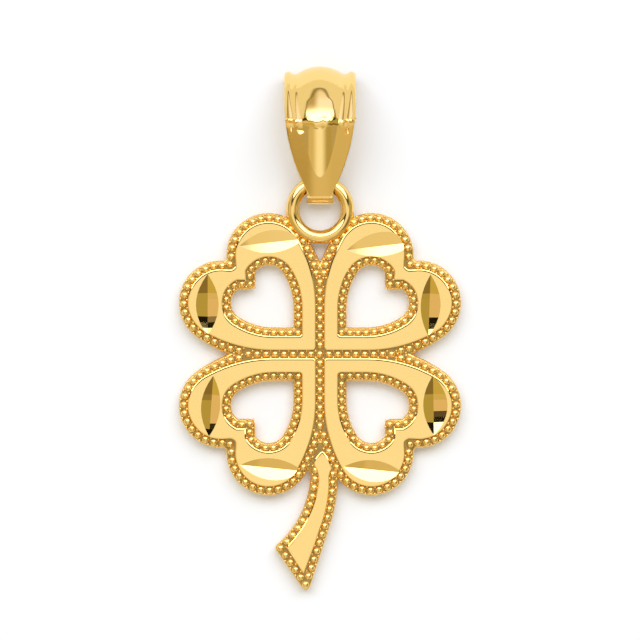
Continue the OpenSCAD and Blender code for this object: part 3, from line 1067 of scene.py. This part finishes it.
    def build(self) -> None:
        """Builds the clover's pieces."""
        skins = [finish.material() for finish in CLOVER_SKINS]
        plate = joined([self.plate(skins), *self.panels(skins)])
        mark_creases(plate)
        finish_piece(plate, "clover_plate", "clover", skins)
        finish_piece(self.bead_mesh(), "clover_beads", "clover", [BEAD_FINISH.material()])
        finish_piece(self.ring_mesh(), "clover_ring", "clover", [WIRE_FINISH.material()])


def smooth_step(t: float) -> float:
    """A smooth rise from 0 to 1."""
    held = max(0.0, min(1.0, t))
    return held * held * (3.0 - 2.0 * held)


@dataclass
class Station:
    """A place along the bail's strip, seen from the side: outer point, outward normal and relief."""

    place: Vector
    normal: Vector
    half_w: float
    dome_w: float
    dome_h: float
    rib_h: float
    wobble: float = 0.0


@dataclass
class Bail:
    """The bail: one tapered strip, from its tongue over crest and nose to the bend under the ring."""

    top_y: float = 12.03
    bend_y: float = 6.39
    tip_y: float = 6.62
    crest_y: float = 9.86
    crest_z: float = 2.785
    crest_r: float = 0.31
    slope_start: float = math.radians(24.2)
    slope_end: float = math.radians(31.8)
    slope_end_y: float = 11.2
    wedge: float = math.radians(23.5)
    wall: float = 0.28
    top_w: float = 3.04
    tongue_w: float = 0.78
    wrap_w: float = 1.13
    swell_top: float = 10.8
    swell_power: float = 2.1
    dome_rise: float = 0.27
    dome_w: float = 2.0
    dome_tip_y: float = 7.555
    dome_run: float = 3.2
    dome_spread: float = 0.51
    dome_share: float = 0.7
    dome_least: float = 0.06
    rib_rise: float = 0.14
    rib_start: float = 9.8
    rib_full: float = 9.92
    lip_r: float = 0.12
    wrap_end: float = 0.25
    crown: float = 0.045
    crest_wobble: float = 0.045
    lip_start: float = math.radians(200.0)
    lip_narrow: float = 0.02
    lip_steps: int = 6
    front_steps: int = 44
    crest_steps: int = 14
    slope_steps: int = 18
    fall_steps: int = 30
    nose_steps: int = 20
    back_steps: int = 12
    bend_steps: int = 16
    dome_columns: int = 8
    rib_columns: int = 10
    rib_top: float = 0.7
    rib_foot: float = 0.12
    rib_climb: float = 0.58
    rib_fall: float = 0.4
    rib_lip: float = 0.3
    edge_r: float = 0.035

    def half_w(self, y: float) -> float:
        """Half the width of the bail at a height: it swells quickly and then runs straight."""
        s = max(0.0, min(1.0, (y - self.tip_y) / (self.swell_top - self.tip_y)))
        swell = 1.0 - (1.0 - s) ** self.swell_power
        return self.tongue_w / 2 + (self.top_w - self.tongue_w) / 2 * swell

    def station(self, place: Vector, angle: float, half_w: float, y: float, fade: float) -> Station:
        """A station with its relief.

        Args:
            place: The outer point, as height and distance from the table.
            angle: Direction of the outward normal, from +Y up to +Z.
            half_w: Half the strip's width.
            y: The height that sets the relief.
            fade: 1 for full relief and 0 for none.

        Returns:
            The station.
        """
        above = max(0.0, y - self.dome_tip_y)
        dome_w = max(self.dome_least, min(self.dome_w / 2, self.dome_spread * math.sqrt(above)))
        dome_h = fade * self.dome_rise * min(1.0, above / self.dome_run)
        rib_h = fade * self.rib_rise * smooth_step((y - self.rib_start) / (self.rib_full - self.rib_start))
        return Station(place, Vector((math.cos(angle), math.sin(angle))), half_w, dome_w, dome_h, rib_h)

    def on_arc(self, centre: Vector, radius: float, start: float, end: float, steps: int) -> list[Station]:
        """Stations round an arc, without its last one.

        Args:
            centre: The middle of the arc, as height and distance from the table.
            radius: Its radius.
            start: The normal's angle at its start, from +Z towards +Y.
            end: The normal's angle at its end.
            steps: The number of steps.

        Returns:
            The stations, with their full relief.
        """
        made = []
        for k in range(steps):
            turn = math.pi / 2 - start - (end - start) * k / steps
            place = centre + radius * Vector((math.cos(turn), math.sin(turn)))
            made.append(self.station(place, turn, self.half_w(place.x), place.x, 1.0))
        return made

    def stations(self) -> list[Station]:
        """The strip's stations, from the lip of the tongue to the end that is wrapped under it."""
        tan, sin, cos = math.tan(self.wedge), math.sin(self.wedge), math.cos(self.wedge)
        tilt = math.pi / 2 + self.wedge
        crest = Vector((self.crest_y, self.crest_z - self.crest_r))
        front_top = crest + self.crest_r * Vector((-sin, cos))
        front_end = front_top.x - front_top.y / tan
        made = []
        lip = Vector((self.tip_y + self.lip_r, 0.0))
        lip.y = (lip.x - front_end) * tan - self.lip_r / cos
        steps = self.lip_steps
        for k in range(steps):
            angle = self.lip_start + (tilt - self.lip_start) * k / steps
            place = lip + self.lip_r * Vector((math.cos(angle), math.sin(angle)))
            width = self.half_w(self.tip_y) - self.lip_narrow * (steps - 1 - k) / (steps - 1)
            made.append(self.station(place, angle, width, 0.0, 0.0))
        low_y = lip.x - self.lip_r * sin
        steps = self.front_steps
        for k in range(steps):
            y = low_y + (front_top.x - low_y) * k / steps
            made.append(self.station(Vector((y, (y - front_end) * tan)), tilt, self.half_w(y), y, 1.0))
        crest_part = self.on_arc(crest, self.crest_r, -self.wedge, self.slope_start, self.crest_steps)
        for at in crest_part:
            at.wobble = 1.0
        start, end = self.slope_start, self.slope_end
        start_v = Vector((math.sin(start), math.cos(start)))
        end_v = Vector((math.sin(end), math.cos(end)))
        slope_top = crest + self.crest_r * start_v
        slope_r = (self.slope_end_y - slope_top.x) / (end_v.x - start_v.x)
        slope_c = slope_top - slope_r * start_v
        fall_r = (self.top_y - self.slope_end_y) / (1.0 - end_v.x)
        fall_c = slope_c + (slope_r - fall_r) * end_v
        nose_r = fall_c.y
        back_y = self.top_y - nose_r
        made += crest_part
        made += self.on_arc(slope_c, slope_r, start, end, self.slope_steps)
        made += self.on_arc(fall_c, fall_r, end, math.pi / 2, self.fall_steps)
        nose = self.on_arc(Vector((back_y, nose_r)), nose_r, math.pi / 2, math.pi, self.nose_steps)
        for k, at in enumerate(nose):
            fade = smooth_step((60.0 - 90.0 * k / len(nose)) / 50.0)
            at.dome_h *= fade
            at.rib_h *= fade
        made += nose
        inner_end = front_end + self.wall / sin
        bend_r = (self.bend_y - inner_end) / (1.0 / math.tan(self.wedge / 2) - 1.0)
        bend = Vector((self.bend_y + bend_r, bend_r))
        steps = self.back_steps
        for k in range(steps):
            y = back_y + (bend.x - back_y) * k / steps
            width = max(self.wrap_w / 2, self.half_w(y))
            made.append(self.station(Vector((y, 0.0)), -math.pi / 2, width, 0.0, 0.0))
        steps = self.bend_steps
        for k in range(steps + 1):
            angle = -math.pi / 2 - (math.pi - self.wedge) * k / steps
            place = bend + bend_r * Vector((math.cos(angle), math.sin(angle)))
            made.append(self.station(place, angle, self.wrap_w / 2, 0.0, 0.0))
        last = made[-1]
        end = last.place + self.wrap_end * Vector((cos, sin))
        made.append(self.station(end, tilt, self.wrap_w / 2, 0.0, 0.0))
        return made

    def section(self, at: Station) -> list[tuple[float, float]]:
        """Half the outline across the strip: distance from the middle line and height of the relief."""
        w, hd, dh, rh = at.half_w, at.dome_w, at.dome_h, at.rib_h
        hd = min(hd, w * self.dome_share)
        count = self.dome_columns
        dome = [(hd * k / count, dh * (1.0 - (k / count) ** 2)) for k in range(count + 1)]
        rib = []
        for k in range(1, self.rib_columns + 1):
            t = k / self.rib_columns
            if t < self.rib_top:
                rise = smooth_step((t - self.rib_foot) / self.rib_climb)
            else:
                rise = 1.0 - self.rib_fall * ((t - self.rib_top) / self.rib_lip) ** 2
            rib.append((hd + (w - hd) * t, rh * rise))
        return [(x, height - self.crown * x * x) for x, height in dome + rib]

    def mesh(self) -> BMesh:
        """The strip as a bent grid, thickened inwards, with its edges rounded."""
        stations = self.stations()
        half = len(self.section(stations[0])) - 1
        across = 2 * half
        along = len(stations) - 1
        bm = bmesh.new()
        bmesh.ops.create_grid(bm, x_segments=across, y_segments=along, size=1.0)
        valley = set()
        rng = random.Random(5)
        wobble = [rng.uniform(-1.0, 1.0) for _ in range(across + 1)]
        for vert in bm.verts:
            column = round((vert.co.x + 1.0) / 2.0 * across) - half
            row = round((vert.co.y + 1.0) / 2.0 * along)
            at = stations[row]
            x, height = self.section(at)[abs(column)]
            place = at.place + height * at.normal
            drift = at.wobble * self.crest_wobble * wobble[column + half]
            vert.co = Vector((math.copysign(x, column), place.x + drift, place.y))
            if abs(column) == self.dome_columns:
                valley.add(vert)
        for edge in bm.edges:
            if all(v in valley for v in edge.verts):
                edge.smooth = False
        bmesh.ops.recalc_face_normals(bm, faces=bm.faces)
        outward = sum(f.normal.z for f in bm.faces if f.calc_center_median().z > 1.6)
        if outward < 0:
            bmesh.ops.reverse_faces(bm, faces=bm.faces)
        bmesh.ops.solidify(bm, geom=whole_geometry(bm), thickness=self.wall)
        for face in bm.faces:
            face.smooth = True
        rim = [e for e in bm.edges if len(e.link_faces) == 2 and e.calc_face_angle() > math.radians(60)]
        bmesh.ops.bevel(
            bm, geom=rim, offset=self.edge_r, offset_type="OFFSET", segments=2, profile=0.5,
            affect="EDGES", material=-1, clamp_overlap=True)
        return bm

    def build(self) -> None:
        """Builds the bail's piece."""
        finish_piece(self.mesh(), "bail_loop", "bail", [BAIL_FINISH.material()])


@dataclass
class Studio:
    """White table, soft studio light all round and the camera straight above."""

    table_size: float = 3.0
    field_mm: float = 27.38
    middle_y_mm: float = 1.459
    height: float = 0.5
    sensor: float = 36.0
    table_shade: Colour = (0.82, 0.86, 0.95)
    table_colour: Colour = (0.84, 0.88, 0.97)
    table_glow: float = 0.06
    below: Band = Band(0.14, 0.36, 0.1)
    below_colour: Colour = (0.83, 0.76, 0.6)
    front: Band = Band(0.36, 0.5, 0.03)
    front_colour: Colour = (0.72, 0.62, 0.42)
    tongue: Band = Band(0.4235, 0.47, 0.002)
    tongue_halves: Step = Step(0.0, 0.03)
    tongue_left: Colour = (0.40, 0.30, 0.10)
    tongue_right: Colour = (0.62, 0.52, 0.30)
    tongue_stripe: Step = Step(0.035, 0.02)
    stripe_colour: Colour = (0.70, 0.60, 0.40)
    cone: Band = Band(0.47, 0.65, 0.02)
    cone_right: Step = Step(0.15, 0.12)
    cone_right_colour: Colour = (0.48, 0.4, 0.18)
    cone_left: Step = Step(0.17, 0.12)
    cone_left_colour: Colour = (0.68, 0.58, 0.36)
    side_height: Band = Band(-0.36, 0.6, 0.06)
    right_panel: Band = Band(0.26, 0.62, 0.08)
    right_colour: Colour = (0.456, 0.395, 0.145)
    right_upper: Step = Step(-0.1, 0.02)
    right_low_colour: Colour = (0.24, 0.19, 0.08)
    left_panel: Band = Band(0.22, 0.6, 0.06)
    left_colour: Colour = (0.75, 0.61, 0.435)
    left_upper: Step = Step(-0.08, 0.02)
    left_low_colour: Colour = (0.58, 0.49, 0.17)
    spill_start: float = 0.15
    spill_lift: float = 2.0
    glow_colour: Colour = (3.4, 3.4, 3.35)
    glow_end: Step = Step(0.41, 0.015)
    crest_colour: Colour = (1.12, 1.1, 1.5)
    nose: Step = Step(0.55, 0.08)
    nose_colour: Colour = (0.96, 0.93, 0.95)
    shade_left: Step = Step(0.12, 0.14)
    shade_up: Step = Step(0.42, 0.03)
    shade_colour: Colour = (0.5, 0.43, 0.25)
    box_start: Step = Step(0.09, 0.012)
    box_half: float = 0.40
    box_widening: float = 0.3
    box_wide: Step = Step(0.4, 0.02)
    box_soft: float = 0.05
    dark_start: float = 0.025
    dark_growth: float = 1.3
    dark_soft: float = 0.008
    dark_half: Step = Step(0.55, 0.04)
    dark_colour: Colour = (0.01, 0.008, 0.004)
    far: Step = Step(0.66, 0.01)
    far_upper: Step = Step(0.22, 0.1)
    far_half: Step = Step(0.85, 0.1)
    far_colour: Colour = (0.5, 0.43, 0.28)
    far_upper_colour: Colour = (0.88, 0.86, 0.78)
    arc: Band = Band(0.62, 0.65, 0.008)
    arc_upper: Step = Step(0.1, 0.1)
    arc_colour: Colour = (0.25, 0.2, 0.1)

    def table(self) -> None:
        """The plain pale table."""
        bm = bmesh.new()
        bmesh.ops.create_grid(bm, x_segments=1, y_segments=1, size=self.table_size / 2)
        mesh = bpy.data.meshes.new("table")
        bm.to_mesh(mesh)
        bm.free()
        made = bpy.data.materials.new("white_table")
        graph = Graph(made)
        place = graph.node("ShaderNodeTexCoord", output="Object")
        cloud = graph.noise(place, 40.0)
        colour = graph.mix(cloud, self.table_shade, self.table_colour)
        links = {"Base Color": colour, "Roughness": 0.8, "Specular IOR Level": 0.1,
                 "Emission Color": rgba(WHITE), "Emission Strength": self.table_glow}
        shader = graph.node("ShaderNodeBsdfPrincipled", None, links)
        graph.finish("ShaderNodeOutputMaterial", shader)
        mesh.materials.append(made)
        table = bpy.data.objects.new("table", mesh)
        table.location.z = -2e-6
        bpy.context.scene.collection.objects.link(table)

    def light(self) -> None:
        """The light all round, as a mirror of a given slope sees it.

        A facet whose slope is (u, v) shows the light from the direction d with
        u = d.x / (1 + d.z) and v = d.y / (1 + d.z).
        """
        world = bpy.data.worlds.new("studio")
        bpy.context.scene.world = world
        graph = Graph(world)
        ray = graph.node("ShaderNodeTexCoord", output="Generated")
        x, y, z = (graph.node("ShaderNodeSeparateXYZ", None, {0: ray}, output=i) for i in range(3))
        u = x / (1 + z)
        v = y / (1 + z)
        radius = graph.node("ShaderNodeMath", {"operation": "SQRT"}, {0: u * u + v * v})
        sky = self.front_light(graph, u, v)
        sky = self.side_light(graph, sky, u, v)
        sky = self.top_light(graph, sky, u, v)
        sky = self.far_light(graph, sky, u, v, radius)
        back = graph.node("ShaderNodeBackground", None, {"Color": sky, "Strength": 1.0})
        graph.finish("ShaderNodeOutputWorld", back)

    def front_light(self, graph: Graph, u: Signal, v: Signal) -> Signal:
        """The light from the side of the stem, which the bail's front and dome show.

        Args:
            graph: The world's nodes.
            u: Slope to the right.
            v: Slope towards the bail.

        Returns:
            The colour of the light.
        """
        down = 0 - v
        sky = graph.mix(down.within(self.below), WHITE, self.below_colour)
        tongue = graph.mix(u.past(self.tongue_halves), self.tongue_left, self.tongue_right)
        tongue = graph.mix(1 - abs(u).past(self.tongue_stripe), tongue, self.stripe_colour)
        sky = graph.mix(down.within(self.front), sky, self.front_colour)
        sky = graph.mix(down.within(self.tongue), sky, tongue)
        cone = graph.mix(u.past(self.cone_right), WHITE, self.cone_right_colour)
        cone = graph.mix((0 - u).past(self.cone_left), cone, self.cone_left_colour)
        return graph.mix(down.within(self.cone), sky, cone)

    def side_light(self, graph: Graph, sky: Signal, u: Signal, v: Signal) -> Signal:
        """The panels on the right and on the left, each darker in its lower half.

        Args:
            graph: The world's nodes.
            sky: The light so far.
            u: Slope to the right.
            v: Slope towards the bail.

        Returns:
            The light with the panels.
        """
        for out, panel, colour, upper, low_colour in (
                (u, self.right_panel, self.right_colour, self.right_upper, self.right_low_colour),
                (0 - u, self.left_panel, self.left_colour, self.left_upper, self.left_low_colour)):
            place = out.within(panel) * v.within(self.side_height)
            sky = graph.mix(place, sky, colour)
            sky = graph.mix(place * (1 - v.past(upper)), sky, low_colour)
        return sky

    def top_light(self, graph: Graph, sky: Signal, u: Signal, v: Signal) -> Signal:
        """The bright box behind the bail and the dark edge under it, both bent up at the sides.

        Args:
            graph: The world's nodes.
            sky: The light so far.
            u: Slope to the right.
            v: Slope towards the bail.

        Returns:
            The light with the box.
        """
        side = abs(u)
        spill = graph.node("ShaderNodeMath", {"operation": "MAXIMUM"}, {0: side - self.spill_start, 1: 0.0})
        lift = self.spill_lift * spill * spill
        glow = graph.mix(v.past(self.glow_end), self.glow_colour, self.crest_colour)
        glow = graph.mix(v.past(self.nose), glow, self.nose_colour)
        glow = graph.mix((0 - u).past(self.shade_left) * v.past(self.shade_up), glow, self.shade_colour)
        half = self.box_half + self.box_widening * v.past(self.box_wide)
        box = v.above(self.box_start.at + lift, self.box_start.soft) * (1 - side.above(half, self.box_soft))
        sky = graph.mix(box, sky, glow)
        dark = v.between(self.dark_start + lift, self.box_start.at + lift * self.dark_growth, self.dark_soft)
        return graph.mix(dark * (1 - side.past(self.dark_half)), sky, self.dark_colour)

    def far_light(self, graph: Graph, sky: Signal, u: Signal, v: Signal, radius: Signal) -> Signal:
        """The light low down all round, with a dark arc before it.

        Args:
            graph: The world's nodes.
            sky: The light so far.
            u: Slope to the right.
            v: Slope towards the bail.
            radius: The whole slope.

        Returns:
            The light with its rim.
        """
        upper = v.past(self.far_upper) * (1 - abs(u).past(self.far_half))
        low = graph.mix(upper, self.far_colour, self.far_upper_colour)
        sky = graph.mix(radius.past(self.far), sky, low)
        return graph.mix(radius.within(self.arc) * v.past(self.arc_upper), sky, self.arc_colour)

    def camera(self) -> None:
        """The camera, far above the pendant with a long lens."""
        data = bpy.data.cameras.new("camera")
        data.sensor_width = self.sensor
        data.lens = self.sensor * self.height / (self.field_mm * MM)
        data.clip_start = 0.01
        data.clip_end = 10.0
        camera = bpy.data.objects.new("camera", data)
        camera.location = (0.0, self.middle_y_mm * MM, self.height)
        bpy.context.scene.collection.objects.link(camera)
        bpy.context.scene.camera = camera

    def build(self) -> None:
        """Sets up table, light and camera, with plain colour management."""
        self.table()
        self.light()
        self.camera()
        view = bpy.context.scene.view_settings
        view.view_transform = "Standard"
        view.look = "None"


def main() -> None:
    """Builds the pendant's pieces and the studio in order."""
    logging.basicConfig(level=logging.INFO, format="%(name)s: %(message)s")
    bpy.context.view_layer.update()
    Clover().build()
    Bail().build()
    Studio().build()


if __name__ == "__main__":
    main()
